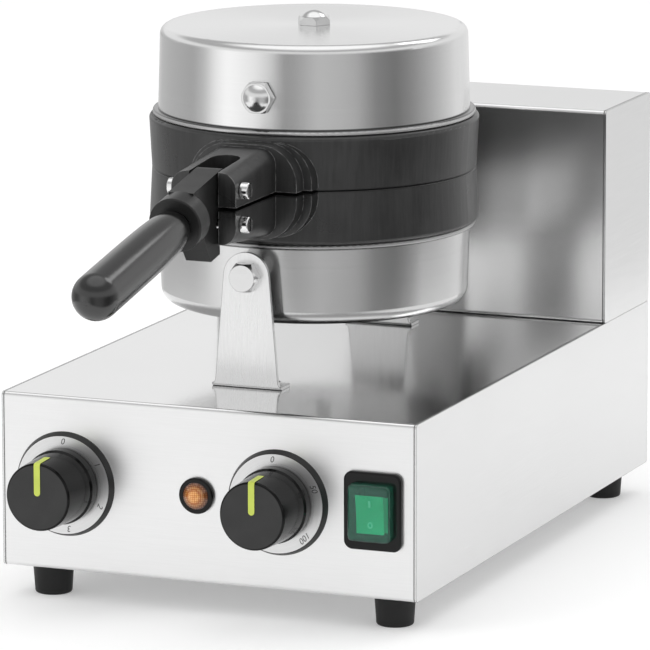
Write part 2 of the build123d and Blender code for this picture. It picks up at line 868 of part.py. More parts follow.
def hinge_clip(side):
    ring = clip_ring(side, clip_radius, hinge_pin_radius - clip_groove + screw_play / 2)
    x0 = side * hinge_ear_end
    x1 = x0 + side * past
    return ring - block(x0, x1, hinge_y - clip_slot / 2, hinge_y + clip_slot / 2, parting_z, parting_z - past)


# Controls, drawn on the panel with +Z pointing out of it

def bezel():
    body = Cone(bezel_radius, bezel_radius - bezel_taper, bezel_height, align=LOW)
    body -= Pos(0, 0, bezel_height - dial_thickness) * Cylinder(
        dial_radius + dial_play, dial_thickness, align=LOW)
    return body - Cylinder(dial_inner_radius - bezel_under_dial, bezel_height, align=LOW)


def dial():
    ring = Cylinder(dial_radius, dial_thickness, align=LOW)
    ring -= Cylinder(dial_inner_radius, dial_thickness, align=LOW)
    return Pos(0, 0, bezel_height - dial_thickness) * ring


def knob_blank(grow=0.0):
    body = turned([
        (0, 0),
        (knob_base_radius + grow, 0),
        (knob_base_radius + grow, knob_step),
        (knob_base_radius - knob_step_in + grow, knob_step + knob_step_slope),
        (knob_face_radius + grow, knob_height + grow),
        (0, knob_height + grow),
    ])
    return soften_top(body, knob_edge)


def knob():
    """A hollow moulded knob with a hub for the shaft and a raised pointer on face and side."""
    round_y = knob_face_radius - pointer_length + pointer_width / 2
    stretch = pointer_length + past
    zone = Pos(0, round_y + stretch / 2, 0) * Box(pointer_width, stretch, pointer_side + 2 * pointer_rise)
    zone += Pos(0, round_y, 0) * Cylinder(pointer_width / 2, pointer_side + 2 * pointer_rise)
    zone = Pos(0, 0, knob_height - pointer_side / 2) * zone
    body = knob_blank() + (knob_blank(pointer_rise) & zone)
    inside = knob_face_radius - knob_wall
    room = Cylinder(inside, knob_height - 2 * knob_wall, align=LOW)
    room -= Cylinder(knob_hub_radius, knob_height, align=LOW)
    over_nut = Cylinder(inside, bush_length - sheet - bezel_height, align=LOW)
    shaft_hole = Cylinder(shaft_radius + screw_play / 2, knob_inside, align=LOW)
    return Pos(0, 0, bezel_height + knob_gap) * (body - room - over_nut - shaft_hole)


def shaft():
    tip = bezel_height + knob_gap + knob_inside
    root = -sheet - shaft_in_body
    return Pos(0, 0, root) * Cylinder(shaft_radius, tip - root, align=LOW)


def control_body(width, height, depth):
    """A timer or thermostat behind the panel, with its threaded bush through the panel."""
    case = Pos(0, 0, -sheet - depth) * Box(width, height, depth, align=LOW)
    case = fillet(case.edges().filter_by(Axis.Z), control_body_edge)
    bush = Pos(0, 0, -sheet) * Cylinder(bush_radius, bush_length, align=LOW)
    bore_depth = shaft_in_body + shaft_end_gap
    bore = Pos(0, 0, -sheet - bore_depth) * Cylinder(
        shaft_radius + shaft_play, bore_depth + bush_length, align=LOW)
    return case + bush - bore


def control_nut():
    nut = hexagon_prism(control_nut_flats, control_nut_height)
    return nut - Cylinder(bush_radius + screw_play / 2, control_nut_height, align=LOW)


def lamp_bezel():
    ring = soften_top(Cylinder(lamp_bezel_radius, lamp_bezel_height, align=LOW), lamp_rim_edge)
    return ring - Cylinder(lamp_lens_radius + screw_play / 2, lamp_bezel_height, align=LOW)


def lamp_lens():
    """A short cylinder with a shallow dome on it."""
    dome_radius = (lamp_lens_radius ** 2 + lamp_dome ** 2) / (2 * lamp_dome)
    top = lamp_bezel_height + lamp_dome
    dome = Pos(0, 0, top - dome_radius) * Sphere(dome_radius)
    return Cylinder(lamp_lens_radius, top, align=LOW) & (dome + Cylinder(
        lamp_lens_radius, lamp_bezel_height, align=LOW))


def lamp_body():
    return Cylinder(lamp_body_radius, lamp_body_length, align=HIGH)


def switch_frame():
    width = cover_width + 2 * frame_rim_x
    height = cover_height + 2 * frame_rim_z
    body = soften_top(rounded_slab(width, height, frame_corner, 0, frame_thickness), frame_edge)
    body -= rounded_slab(cover_width + 2 * screw_play, cover_height + 2 * screw_play,
                         cover_corner, frame_floor, frame_thickness)
    return body - Box(rocker_room_width, rocker_room_height, 2 * frame_thickness)


def switch_cover():
    body = rounded_slab(cover_width, cover_height, cover_corner, frame_floor, cover_reach)
    hollow = rounded_slab(cover_width - 2 * cover_wall, cover_height - 2 * cover_wall,
                          cover_corner - cover_wall, frame_floor, cover_reach - cover_wall)
    return soften_top(body, cover_edge) - hollow


def rocker_pivot(radius, half_length):
    """A rod on the rocker's pivot line, which lies just behind the panel."""
    return Pos(0, 0, -rocker_pivot_depth) * Rot(0, 90, 0) * Cylinder(radius, 2 * half_length)


def rocker():
    """The rocker on its two pivot pins, tilted to its off side at rest."""
    top = rocker_height / 2
    root = rocker_root_height / 2
    outline = make_face(
        Polyline((rocker_reach, -top), (-rocker_root, -root), (-rocker_root, root), (rocker_reach, top))
        + ThreePointArc((rocker_reach, top), (rocker_reach - rocker_hollow, 0), (rocker_reach, -top)))
    across = Plane(origin=(0, 0, 0), x_dir=(0, 0, 1), z_dir=(-1, 0, 0))
    body = extrude(across * outline, amount=rocker_width / 2, both=True)
    body += rocker_pivot(rocker_pin_radius, rocker_width / 2 + rocker_play + rocker_pin_bite)
    tilt = Pos(0, 0, -rocker_pivot_depth) * Rot(rocker_swing, 0, 0) * Pos(0, 0, rocker_pivot_depth)
    return tilt * body


def switch_body():
    outer = Box(switch_body_width, switch_body_height, switch_body_depth, align=HIGH)
    pocket = Box(rocker_room_width, rocker_room_height, switch_pocket, align=HIGH)
    return outer - pocket - rocker_pivot(rocker_pin_radius + shaft_play, switch_body_width)


# Wiring inlets

def cable_gland():
    neck_end = gland_reach - gland_hexagon
    body = hexagon_prism(gland_flats, gland_hexagon)
    body += Pos(0, 0, gland_hexagon) * Cone(
        gland_flats / 2 - seam, gland_thread_radius, neck_end, align=LOW)
    body += Cylinder(gland_thread_radius, gland_inside, align=HIGH)
    bore = Cylinder(cord_radius, gland_inside + gland_reach, align=LOW)
    return body - Pos(0, 0, -gland_inside) * bore


def bushing(wall):
    """A rubber grommet that grips a sheet lying between z = -wall and z = 0."""
    neck = Cylinder(bushing_neck_radius, wall, align=HIGH)
    outer = soften_top(Cylinder(bushing_radius, bushing_flange, align=LOW), bushing_edge)
    inner = Pos(0, 0, -wall) * Cylinder(bushing_radius, bushing_flange, align=HIGH)
    bore = Cylinder(bushing_hole_radius, 2 * (wall + 2 * bushing_flange))
    return neck + outer + inner - bore


def bushing_hole(place):
    return place * Cylinder(bushing_neck_radius + screw_play, 2 * past)


def terminal_block():
    width, depth, height = terminal_size
    y = case_depth - terminal_from_back
    bottom = floor_z + sheet
    body = Pos(gland_x, y, bottom) * Box(width, depth, height, align=LOW)
    for i in range(terminal_ways):
        x = gland_x + (i - (terminal_ways - 1) / 2) * terminal_pitch
        top = bottom + height
        body -= rod_z(terminal_hole_radius, top - terminal_hole_depth, top, x, y)
    return body


# Places of screws, feet, brackets and inlets
bottom_screw_x = half_width - sheet - lip / 2
bottom_screw_places = [
    (side * bottom_screw_x, case_depth * (i + 1) / (bottom_screw_count + 1))
    for side in (-1, 1)
    for i in range(bottom_screw_count)
]
foot_places = [
    (side * (half_width - foot_inset_x), y)
    for side in (-1, 1)
    for y in (foot_inset_front, case_depth - foot_inset_back)
]
front = BracketPlaces(-1)
rear = BracketPlaces(1)
bracket_screw_x = (-bracket_screw_spacing / 2, bracket_screw_spacing / 2)
bracket_screw_places = [(x, places.screw_y) for x in bracket_screw_x for places in (front, rear)]
box_ports = [
    Plane(origin=(bushing_x + side * bushing_spacing / 2, box_front, (case_top + box_top) / 2),
          x_dir=(1, 0, 0), z_dir=(0, -1, 0))
    for side in (-1, 1)
]
lower_port = shell_port(shell_radius_at(lower_shell_height / 2, lower_shell_height), bushing_angle,
                        ring_bottom - lower_shell_height / 2)
lid_port = shell_port(shell_radius_at(lid_shell_height / 2, lid_shell_height), bushing_angle,
                      ring_top + lid_shell_height / 2)
gland_port = Plane(origin=(gland_x, case_depth, case_bottom + gland_height), x_dir=(-1, 0, 0),
                   z_dir=(0, 1, 0))

os.makedirs("parts", exist_ok=True)

# Case
case_wrap = wrap(0, case_depth, case_bottom, case_top)
for x in (timer_x, thermostat_x):
    case_wrap -= on_panel(x) * Cylinder(bush_radius + screw_play, 2 * past)
case_wrap -= on_panel(lamp_x) * Cylinder(lamp_body_radius + screw_play, 2 * past)
case_wrap -= on_panel(switch_x) * Box(
    switch_body_width + 2 * screw_play, switch_body_height + 2 * screw_play, 2 * past)
for x, y in bracket_screw_places:
    case_wrap -= drill_z(panel_screw_radius + screw_play, x, y, case_top)
case_wrap -= Pos(0, (box_front + case_depth) / 2, case_top) * Box(
    box_opening_width, box_opening_depth, past)
case_wrap -= gland_port * Cylinder(gland_hole_radius, 2 * past)
save("case_wrap", case_wrap)

for side, name in ((-1, "left"), (1, "right")):
    panel = side_panel(side, 0, case_depth, case_bottom, case_top)
    for x, y in bottom_screw_places:
        panel -= drill_z(panel_screw_radius + screw_play, x, y, case_bottom)
    save(f"side_panel_{name}", panel)
    save(f"box_side_{name}", side_panel(side, box_front, case_depth, case_top, box_top))

plate_front = 2 * sheet + seam
bottom_plate = block(-case_half, case_half, plate_front, case_depth - plate_front, floor_z, floor_z + sheet)
for x, y in bottom_screw_places:
    bottom_plate -= drill_z(panel_screw_radius + screw_play, x, y, floor_z)
for x, y in foot_places:
    bottom_plate -= drill_z(foot_screw_radius + screw_play, x, y, floor_z)
for i in range(vent_count):
    x = (i - (vent_count - 1) / 2) * vent_pitch
    bottom_plate -= Pos(x, case_depth / 2, floor_z) * Box(vent_width, vent_length, past)
save("bottom_plate", bottom_plate)

save("feet", *[Pos(x, y, 0) * foot() for x, y in foot_places])
foot_screw_length = floor_z + screw_bite - foot_recess_depth
save("foot_screws", *[
    Pos(x, y, foot_recess_depth) * Rot(180, 0, 0) * pan_screw(foot_screw_radius, foot_screw_length)
    for x, y in foot_places])
save("panel_screws", *[
    Pos(x, y, case_bottom + sheet) * Rot(180, 0, 0) * pan_screw(panel_screw_radius, screw_bite)
    for x, y in bottom_screw_places
], *[
    Pos(x, y, case_top + bracket_sheet) * pan_screw(panel_screw_radius, bracket_sheet + screw_bite)
    for x, y in bracket_screw_places])

box_wrap = wrap(box_front, case_depth, case_top, box_top)
for place in box_ports:
    box_wrap -= bushing_hole(place)
save("box_wrap", box_wrap)
save("cable_gland", gland_port * cable_gland())
save("terminal_block", terminal_block())

# Lower half of the head
lower_shell = Pos(0, head_y, ring_bottom) * pan(lower_shell_height, lower_shell_edge)
for places in (front, rear):
    lower_shell -= drill_y(bolt_radius + screw_play, 0, places.shell_y, bracket_bolt_z)
lower_shell -= drill_z(stud_radius + screw_play, 0, head_y, lower_shell_bottom)
lower_shell -= bushing_hole(lower_port)
save("lower_shell", lower_shell)
save("lower_plate", lower_plate())
save("lower_heater", Pos(0, 0, parting_z) * heater())
save("lower_clamp", Pos(0, 0, parting_z) * clamp())
lower_stud_end = lower_shell_bottom - nut_height - stud_past_nut
save("lower_stud", Pos(0, 0, parting_z) * stud(lower_stud_end - parting_z))
clamp_under = parting_z + heater_under - clamp_sheet
bulb_y = head_y - clamp_radius + bulb_from_clamp_edge
bulb_z = clamp_under - bulb_radius
save("thermostat_bulb", rod_x(bulb_radius, -bulb_length / 2, bulb_length / 2, bulb_y, bulb_z))
save("bulb_clip", bulb_clip(bulb_y, bulb_z, clamp_under))

# Brackets with their bolts, spacers and nuts
bracket_bolt_length = bracket_sheet + bracket_gap + shell_wall + nut_height + bolt_past_nut
under_shell = Plane(origin=(0, head_y, lower_shell_bottom), x_dir=(1, 0, 0), z_dir=(0, 0, -1))
save("front_bracket", bracket(front))
save("rear_bracket", bracket(rear))
save("bracket_bolts", *[p.facing(p.outer_y) * hex_bolt(bracket_bolt_length) for p in (front, rear)])
save("bracket_spacers", bracket_spacer(front), bracket_spacer(rear))
save("hex_nuts", bracket_nut(front), bracket_nut(rear), under_shell * hex_nut())
save("wire_bushings", *[place * bushing(sheet) for place in box_ports],
     lower_port * Pos(0, 0, seat_gap) * bushing(shell_groove))

# Pins of the hinge and of the front lugs
save("hinge_pin", hinge_pin())
save("hinge_clips", hinge_clip(-1), hinge_clip(1))
for name, z in (("catch_pin", catch_z), ("pivot_pin", pivot_z)):
    half = lug_half_width + seam
    save(name, rod_x(pin_radius, -half, half, pin_y, z))
    save(f"{name}_screws", *pin_screws(z))

# Controls
save("timer_body", on_panel(timer_x) * control_body(*timer_body_size))
save("thermostat_body", on_panel(thermostat_x) * control_body(*thermostat_body_size))
for name, x in (("timer", timer_x), ("thermostat", thermostat_x)):
    save(f"{name}_knob", on_panel(x) * knob())
    save(f"{name}_shaft", on_panel(x) * shaft())
save("knob_bezels", *[on_panel(x) * bezel() for x in (timer_x, thermostat_x)])
save("dial_rings", *[on_panel(x) * dial() for x in (timer_x, thermostat_x)])
save("control_nuts", *[on_panel(x) * control_nut() for x in (timer_x, thermostat_x)])
save("lamp_bezel", on_panel(lamp_x) * lamp_bezel())
save("lamp_lens", on_panel(lamp_x) * lamp_lens())
save("lamp_body", on_panel(lamp_x) * lamp_body())
save("switch_frame", on_panel(switch_x) * switch_frame())
save("switch_cover", on_panel(switch_x) * switch_cover())
save("switch_body", on_panel(switch_x) * switch_body())
save("rocker", on_panel(switch_x) * rocker())

# Lid
lid_nut_z = ring_top + lid_nut_rise
lid_nut_radius = shell_radius_at(lid_shell_height - lid_nut_rise, lid_shell_height)
lid_front_y = head_y - sqrt(lid_nut_radius ** 2 - lid_nut_x ** 2)
lid_shell = Pos(0, head_y, ring_top) * mirror(pan(lid_shell_height, lid_shell_edge), about=Plane.XY)
lid_shell -= drill_z(stud_radius + screw_play, 0, head_y, lid_top)
lid_shell -= drill_y(bolt_radius + screw_play, lid_nut_x, lid_front_y, lid_nut_z)
lid_shell -= bushing_hole(lid_port)
save("lid_shell", lid_shell)
save("upper_plate", upper_plate())
save("upper_heater", Pos(0, 0, parting_z) * mirror(heater(), about=Plane.XY))
save("upper_clamp", Pos(0, 0, parting_z) * mirror(clamp(), about=Plane.XY))
lid_stud_end = lid_top + cap_hole_depth - stud_past_nut
save("upper_stud", Pos(0, 0, parting_z) * mirror(stud(parting_z - lid_stud_end), about=Plane.XY))
on_lid_front = Plane(origin=(lid_nut_x, lid_front_y - seat_gap, lid_nut_z), x_dir=(1, 0, 0),
                     z_dir=(0, -1, 0))
save("cap_nuts", Pos(0, head_y, lid_top) * cap_nut(), on_lid_front * cap_nut())
behind_lid_front = Plane(origin=(lid_nut_x, lid_front_y + shell_wall + lid_bolt_seat, lid_nut_z),
                         x_dir=(1, 0, 0), z_dir=(0, 1, 0))
lid_bolt_reach = lid_bolt_seat + shell_wall + cap_hole_depth - stud_past_nut
save("lid_front_bolt", behind_lid_front * hex_bolt(lid_bolt_reach))
save("lid_bushing", lid_port * Pos(0, 0, seat_gap) * bushing(shell_groove))

# Handle
save("latch_block", latch_block())
save("grip", grip())
save("grip_stud", grip_stud())
save("pivot_washers", pivot_washer(-1), pivot_washer(1))

print("front panel y", round(front_y, 3))
print("hinge y z", round(hinge_y + front_y, 3), round(parting_z, 3))
print("handle pivot y z", round(pin_y + front_y, 3), round(pivot_z, 3))
print("controls z", round(control_z, 3))
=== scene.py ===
import math

import bmesh
import bpy
from mathutils import Matrix, Quaternion, Vector
from mathutils.bvhtree import BVHTree


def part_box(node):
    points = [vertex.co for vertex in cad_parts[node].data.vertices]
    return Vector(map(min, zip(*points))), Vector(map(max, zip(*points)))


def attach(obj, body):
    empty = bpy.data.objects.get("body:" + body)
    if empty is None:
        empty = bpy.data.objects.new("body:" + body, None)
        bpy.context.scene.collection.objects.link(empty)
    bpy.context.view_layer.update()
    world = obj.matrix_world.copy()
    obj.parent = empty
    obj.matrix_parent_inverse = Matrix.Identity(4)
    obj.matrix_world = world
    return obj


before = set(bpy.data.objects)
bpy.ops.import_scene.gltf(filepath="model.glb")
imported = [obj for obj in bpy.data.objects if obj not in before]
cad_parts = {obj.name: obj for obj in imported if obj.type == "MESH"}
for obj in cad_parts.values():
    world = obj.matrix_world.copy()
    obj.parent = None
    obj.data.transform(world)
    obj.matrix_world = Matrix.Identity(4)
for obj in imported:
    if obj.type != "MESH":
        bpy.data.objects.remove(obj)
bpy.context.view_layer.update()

MM = 0.001

# Places on the front panel, in metres
panel_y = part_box("case_wrap")[0].y
controls_z = 68.5 * MM
timer_x = -85.9 * MM
thermostat_x = 43.0 * MM
switch_x = 100.0 * MM
lamp_x = -5.6 * MM

# Dials
dial_front = 4.0 * MM
number_size = 4.9 * MM
number_radius = 24.9 * MM
number_slant = 0.25
print_thickness = 0.06 * MM
timer_numbers = ["0", "1", "2", "3", "4", "5"]
timer_step = 57.0
thermostat_numbers = ["0", "50", "100", "150", "200"]
thermostat_step = 70.0
thermostat_turn = -4.7

# Knob pointers
knob_root = 4.6 * MM
knob_height = 33.6 * MM
knob_face_radius = 19.2 * MM
knob_foot_radius = 20.4 * MM
knob_foot_height = 7.5 * MM
knob_edge = 1.6 * MM
pointer_rise = 0.25 * MM
pointer_width = 3.7 * MM
pointer_length = 18.4 * MM
pointer_side = 14.0 * MM
inlay_proud = 0.05 * MM
inlay_thickness = 0.2 * MM
round_steps = 8
face_steps = 4
edge_steps = 8
side_steps = 5
half_steps = 3

# Lamp lens
lens_low, lens_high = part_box("lamp_lens")
lens_radius = (lens_high.x - lens_low.x) / 2
lens_front_y = lens_low.y

# Rocker marks
mark_line = 1.2 * MM
on_height = 3.9 * MM
off_height = 3.8 * MM
off_width = 3.2 * MM
off_line = 0.75 * mark_line
mark_from_edge = 4.9 * MM
mark_proud = 0.05 * MM
bar_rise_steps = 12
bar_width_steps = 4
oval_steps = 40
oval_line_steps = 3

# Making of thin pieces
weld_distance = 0.002 * MM
before_panel = 50.0 * MM

# Head
head_axis = Vector((0.0, 35.606 * MM, 0.0))
# The plates' parting, where a dark line of shade is painted, and that line's width.
parting_z = 230.6 * MM
parting_width = 1.3 * MM
bead_height = 3.0 * MM
bead_shade = 0.7
bead_sharpness = 4.0
bead_haze = 0.16
# The crease's painted dark line of shade: its width and level.
crease_width = 0.9 * MM
painted_crease_shade_level = 0.1

# Camera
camera_place = (1.25592, -3.051384, 0.78989)
camera_yaw = 22.057
camera_pitch = -10.853
camera_roll = -0.105
camera_lens = 325.2
camera_sensor = 36.0
camera_shift = (0.0033, -0.0385)
camera_reach = 60.0

# Studio: light round the object, as steps of degrees from the front and brightness
studio_bands = [
    (-180, 0.85), (-158, 0.80), (-135, 0.58), (-109, 0.52), (-92, 0.48), (-79, 0.44),
    (-67, 0.60), (-56, 1.00), (-46, 1.22), (-37, 1.15), (-22, 1.00), (-10, 0.75),
    (0, 0.34), (8, 0.38), (25, 0.58), (40, 0.54), (53, 0.47), (68, 0.24),
    (84, 0.17), (98, 0.26), (115, 0.44), (136, 0.68), (153, 0.86), (180, 0.85),
]
sky_levels = [(0.2, 0.92), (0.42, 0.92), (0.55, 0.5), (0.78, 0.5), (0.9, 1.25)]
brightest = 1.3
sky_starts = 0.02
sky_full = 0.2
lamps_look_at = Vector((0.0, 0.0, 0.16))
floor_reach = 14.0
floor_sides = 96
floor_in_reflections = 0.67
floor_fade = 0.1
floor_edge_bearing = 50.0
floor_edge = 0.38
floor_edge_fade = 0.08
floor_glow = 0.25
floor_white = 0.80


# Node helpers

def feed(tree, socket, value):
    """Links a socket to another one, or sets its value."""
    if isinstance(value, bpy.types.NodeSocket):
        tree.links.new(value, socket)
    else:
        socket.default_value = value


def put(tree, kind, inputs=None, **settings):
    """Adds a node with its settings, and feeds its inputs by name or number."""
    node = tree.nodes.new(kind)
    for name, value in settings.items():
        setattr(node, name, value)
    for name, value in (inputs or {}).items():
        feed(tree, node.inputs[name], value)
    return node


def math_of(tree, operation, a, b=0.0, clamp=False):
    return put(tree, "ShaderNodeMath", {0: a, 1: b}, operation=operation, use_clamp=clamp).outputs[0]


def plus(tree, a, b):
    return math_of(tree, "ADD", a, b)


def times(tree, a, b):
    return math_of(tree, "MULTIPLY", a, b)


def distance_from(tree, value, middle):
    return math_of(tree, "ABSOLUTE", math_of(tree, "SUBTRACT", value, middle))


def vector_of(tree, operation, a, b=(0.0, 0.0, 0.0)):
    return put(tree, "ShaderNodeVectorMath", {0: a, 1: b}, operation=operation)


def part_of(tree, vector, axis):
    """One of a vector's numbers: X, Y or Z."""
    return put(tree, "ShaderNodeSeparateXYZ", {"Vector": vector}).outputs[axis]


def object_place(tree):
    """Where a point is, in the object's own coordinates."""
    return put(tree, "ShaderNodeTexCoord").outputs["Object"]


def surface_normal(tree):
    return put(tree, "ShaderNodeNewGeometry").outputs["Normal"]


def noise_at(tree, place, scale, detail, roughness=0.5):
    inputs = {"Vector": place, "Scale": scale, "Detail": detail, "Roughness": roughness}
    return put(tree, "ShaderNodeTexNoise", inputs).outputs[0]


def between(tree, shade, low, high):
    """A number that goes from low to high as the shade goes from 0 to 1."""
    spread = put(tree, "ShaderNodeMapRange", {"Value": shade, "To Min": low, "To Max": high})
    return spread.outputs["Result"]


def narrowed(tree, shade, start, end):
    """The shade's stretch from start to end, spread over 0 to 1."""
    stretch = put(tree, "ShaderNodeMapRange", {"Value": shade, "From Min": start, "From Max": end})
    return stretch.outputs["Result"]


def mixed(tree, factor, first, second):
    """A colour between two colours."""
    node = put(tree, "ShaderNodeMix", data_type="RGBA")
    feed(tree, node.inputs[0], factor)
    feed(tree, node.inputs[6], first)
    feed(tree, node.inputs[7], second)
    return node.outputs[2]


def bumped(tree, height, distance, strength):
    node = put(tree, "ShaderNodeBump", {"Height": height, "Distance": distance, "Strength": strength})
    return node.outputs["Normal"]


def grey(level):
    """A linear grey as a colour."""
    return (level, level, level, 1.0)


def linear(level):
    """One part of a screen colour, from 0 to 255, made linear."""
    part = level / 255
    if part > 0.04045:
        return ((part + 0.055) / 1.055) ** 2.4
    return part / 12.92


def screen(red, green, blue):
    """A colour as it shows on a screen, from 0 to 255, made linear."""
    return (linear(red), linear(green), linear(blue), 1.0)


def scaled(color, factor):
    """A paler or darker form of a colour."""
    return tuple(min(1.0, part * factor) for part in color[:3]) + (1.0,)


# Effects shared by the finishes

def effect(name, inputs, outputs):
    """An empty node group with named sockets, and its way in and way out."""
    tree = bpy.data.node_groups.new(name, "ShaderNodeTree")
    for label, kind, value in inputs:
        socket = tree.interface.new_socket(label, in_out="INPUT", socket_type=kind)
        socket.default_value = value
    for label in outputs:
        tree.interface.new_socket(label, in_out="OUTPUT", socket_type="NodeSocketFloat")
    return tree, tree.nodes.new("NodeGroupInput").outputs, tree.nodes.new("NodeGroupOutput").inputs


def make_brushed_grain():
    """Long fine scratches. Stretch is how many fit in a metre along x, y and z."""
    tree, given, out = effect("brushed grain", [
        ("Stretch", "NodeSocketVector", (1.0, 1.0, 1.0)),
    ], ["Shade"])
    stretched = vector_of(tree, "MULTIPLY", object_place(tree), given["Stretch"]).outputs[0]
    noise = noise_at(tree, stretched, scale=1.0, detail=4.0, roughness=0.65)
    feed(tree, out["Shade"], narrowed(tree, noise, 0.25, 0.75))
    return tree


def make_turned_grain():
    """Fine lines round an axis through Centre, one every Pitch metres."""
    tree, given, out = effect("turned grain", [
        ("Centre", "NodeSocketVector", (0.0, 0.0, 0.0)),
        ("Axis", "NodeSocketVector", (0.0, 0.0, 1.0)),
        ("Pitch", "NodeSocketFloat", 0.001),
    ], ["Shade"])
    offset = vector_of(tree, "SUBTRACT", object_place(tree), given["Centre"]).outputs[0]
    along = vector_of(tree, "DOT_PRODUCT", offset, given["Axis"]).outputs["Value"]
    lift = put(tree, "ShaderNodeVectorMath", {0: given["Axis"], "Scale": along}, operation="SCALE")
    flat = vector_of(tree, "SUBTRACT", offset, lift.outputs[0]).outputs[0]
    radius = vector_of(tree, "LENGTH", flat).outputs["Value"]
    line = put(tree, "ShaderNodeCombineXYZ", {
        "X": math_of(tree, "DIVIDE", radius, given["Pitch"]),
        "Y": math_of(tree, "DIVIDE", along, given["Pitch"]),
    })
    noise = noise_at(tree, line.outputs[0], scale=1.0, detail=3.0)
    feed(tree, out["Shade"], narrowed(tree, noise, 0.25, 0.75))
    return tree


def make_soft_cloud():
    """Broad soft patches, each about Size metres across."""
    tree, given, out = effect("soft cloud", [("Size", "NodeSocketFloat", 0.1)], ["Shade"])
    scale = math_of(tree, "DIVIDE", 1.0, given["Size"])
    noise = noise_at(tree, object_place(tree), scale, detail=3.0)
    feed(tree, out["Shade"], narrowed(tree, noise, 0.3, 0.7))
    return tree


def edge_likeness(tree, width, samples):
    """How well a rounded form's normal agrees with the true one: 1 on a flat face, less by an edge."""
    rounded = put(tree, "ShaderNodeBevel", {"Radius": width}, samples=samples).outputs[0]
    return vector_of(tree, "DOT_PRODUCT", rounded, surface_normal(tree)).outputs["Value"]


def make_worn_and_highlight_edge():
    """A mask of the edges and corners, Width metres wide, broken up as wear is, for worn edges and painted
    edge highlights.
    """
    tree, given, out = effect("worn and highlight edge", [("Width", "NodeSocketFloat", 0.0005)], ["Mask"])
    near = narrowed(tree, edge_likeness(tree, given["Width"], samples=6), 0.995, 0.85)
    noise = noise_at(tree, object_place(tree), scale=260.0, detail=3.0)
    broken = narrowed(tree, noise, 0.35, 0.6)
    feed(tree, out["Mask"], times(tree, near, broken))
    return tree


def make_painted_edge_shade():
    """A mask of the sharp edges and folds of a metal piece, Width metres wide, where a dark line of shade
    is painted.
    """
    tree, given, out = effect("painted edge shade", [("Width", "NodeSocketFloat", 0.0005)], ["Mask"])
    near = narrowed(tree, edge_likeness(tree, given["Width"], samples=8), 0.99, 0.8)
    feed(tree, out["Mask"], near)
    return tree


def make_moulded_skin():
    """The fine even texture of moulded plastic, rubber or paint, with grains Size metres across."""
    tree, given, out = effect("moulded skin", [("Size", "NodeSocketFloat", 0.0004)], ["Height"])
    scale = math_of(tree, "DIVIDE", 1.0, given["Size"])
    feed(tree, out["Height"], noise_at(tree, object_place(tree), scale, detail=2.0))
    return tree


brushed_grain = make_brushed_grain()
turned_grain = make_turned_grain()
soft_cloud = make_soft_cloud()
worn_and_highlight_edge = make_worn_and_highlight_edge()
painted_edge_shade = make_painted_edge_shade()
moulded_skin = make_moulded_skin()


def use(tree, group, output, **inputs):
    """Places an effect in a material and gives back one of its outputs."""
    return put(tree, "ShaderNodeGroup", inputs, node_tree=group).outputs[output]


# Finishes

def new_finish(name, color, roughness, metallic=0.0, **constants):
    """A material with its Principled shader. Constants are the shader's own sockets, with _ for a space."""
    material = bpy.data.materials.new(name)
    material.use_nodes = True
    shader = material.node_tree.nodes["Principled BSDF"]
    shader.inputs["Base Color"].default_value = color
    shader.inputs["Roughness"].default_value = roughness
    shader.inputs["Metallic"].default_value = metallic
    for label, value in constants.items():
        shader.inputs[label.replace("_", " ")].default_value = value
    return material, material.node_tree, shader.inputs


def satin_sheet(name, level, roughness, stretch, contrast=0.035, drawn_out=0.0, polished=0.0):
    """Brushed or rolled steel sheet, with its grain along the smallest number of stretch.

    Contrast is how much paler and darker the grain is than the sheet's level.
    Where drawn_out is above 0, reflections are drawn out up and down, as in a sheet brushed across.
    Polished is how much smoother the faces that look up are."""
    painted_edge_shade_level = 0.16
    edge_haze = 0.12
    scratch_haze = 0.012
    material, tree, shader = new_finish(name, grey(level), roughness, 1.0, Anisotropic=drawn_out)
    if drawn_out:
        tangent = put(tree, "ShaderNodeTangent", direction_type="RADIAL", axis="X")
        feed(tree, shader["Tangent"], tangent.outputs[0])
    grain = use(tree, brushed_grain, "Shade", Stretch=stretch)
    patches = use(tree, soft_cloud, "Shade", Size=110 * MM)
    edge = use(tree, painted_edge_shade, "Mask", Width=0.8 * MM)
    color = mixed(tree, grain, grey(level * (1 - contrast)), grey(level * (1 + contrast)))
    # Sharp edges and folds get a painted dark line of shade.
    feed(tree, shader["Base Color"], mixed(tree, edge, color, grey(painted_edge_shade_level)))
    hazy = between(tree, patches, roughness * 0.94, roughness * 1.12)
    upward = narrowed(tree, part_of(tree, surface_normal(tree), "Z"), 0.5, 0.95)
    smoother = plus(tree, hazy, times(tree, upward, -polished))
    scratched = plus(tree, smoother, between(tree, grain, -scratch_haze, scratch_haze))
    feed(tree, shader["Roughness"], plus(tree, scratched, times(tree, edge, edge_haze)))
    feed(tree, shader["Normal"], bumped(tree, grain, distance=0.002 * MM, strength=0.5))
    return material


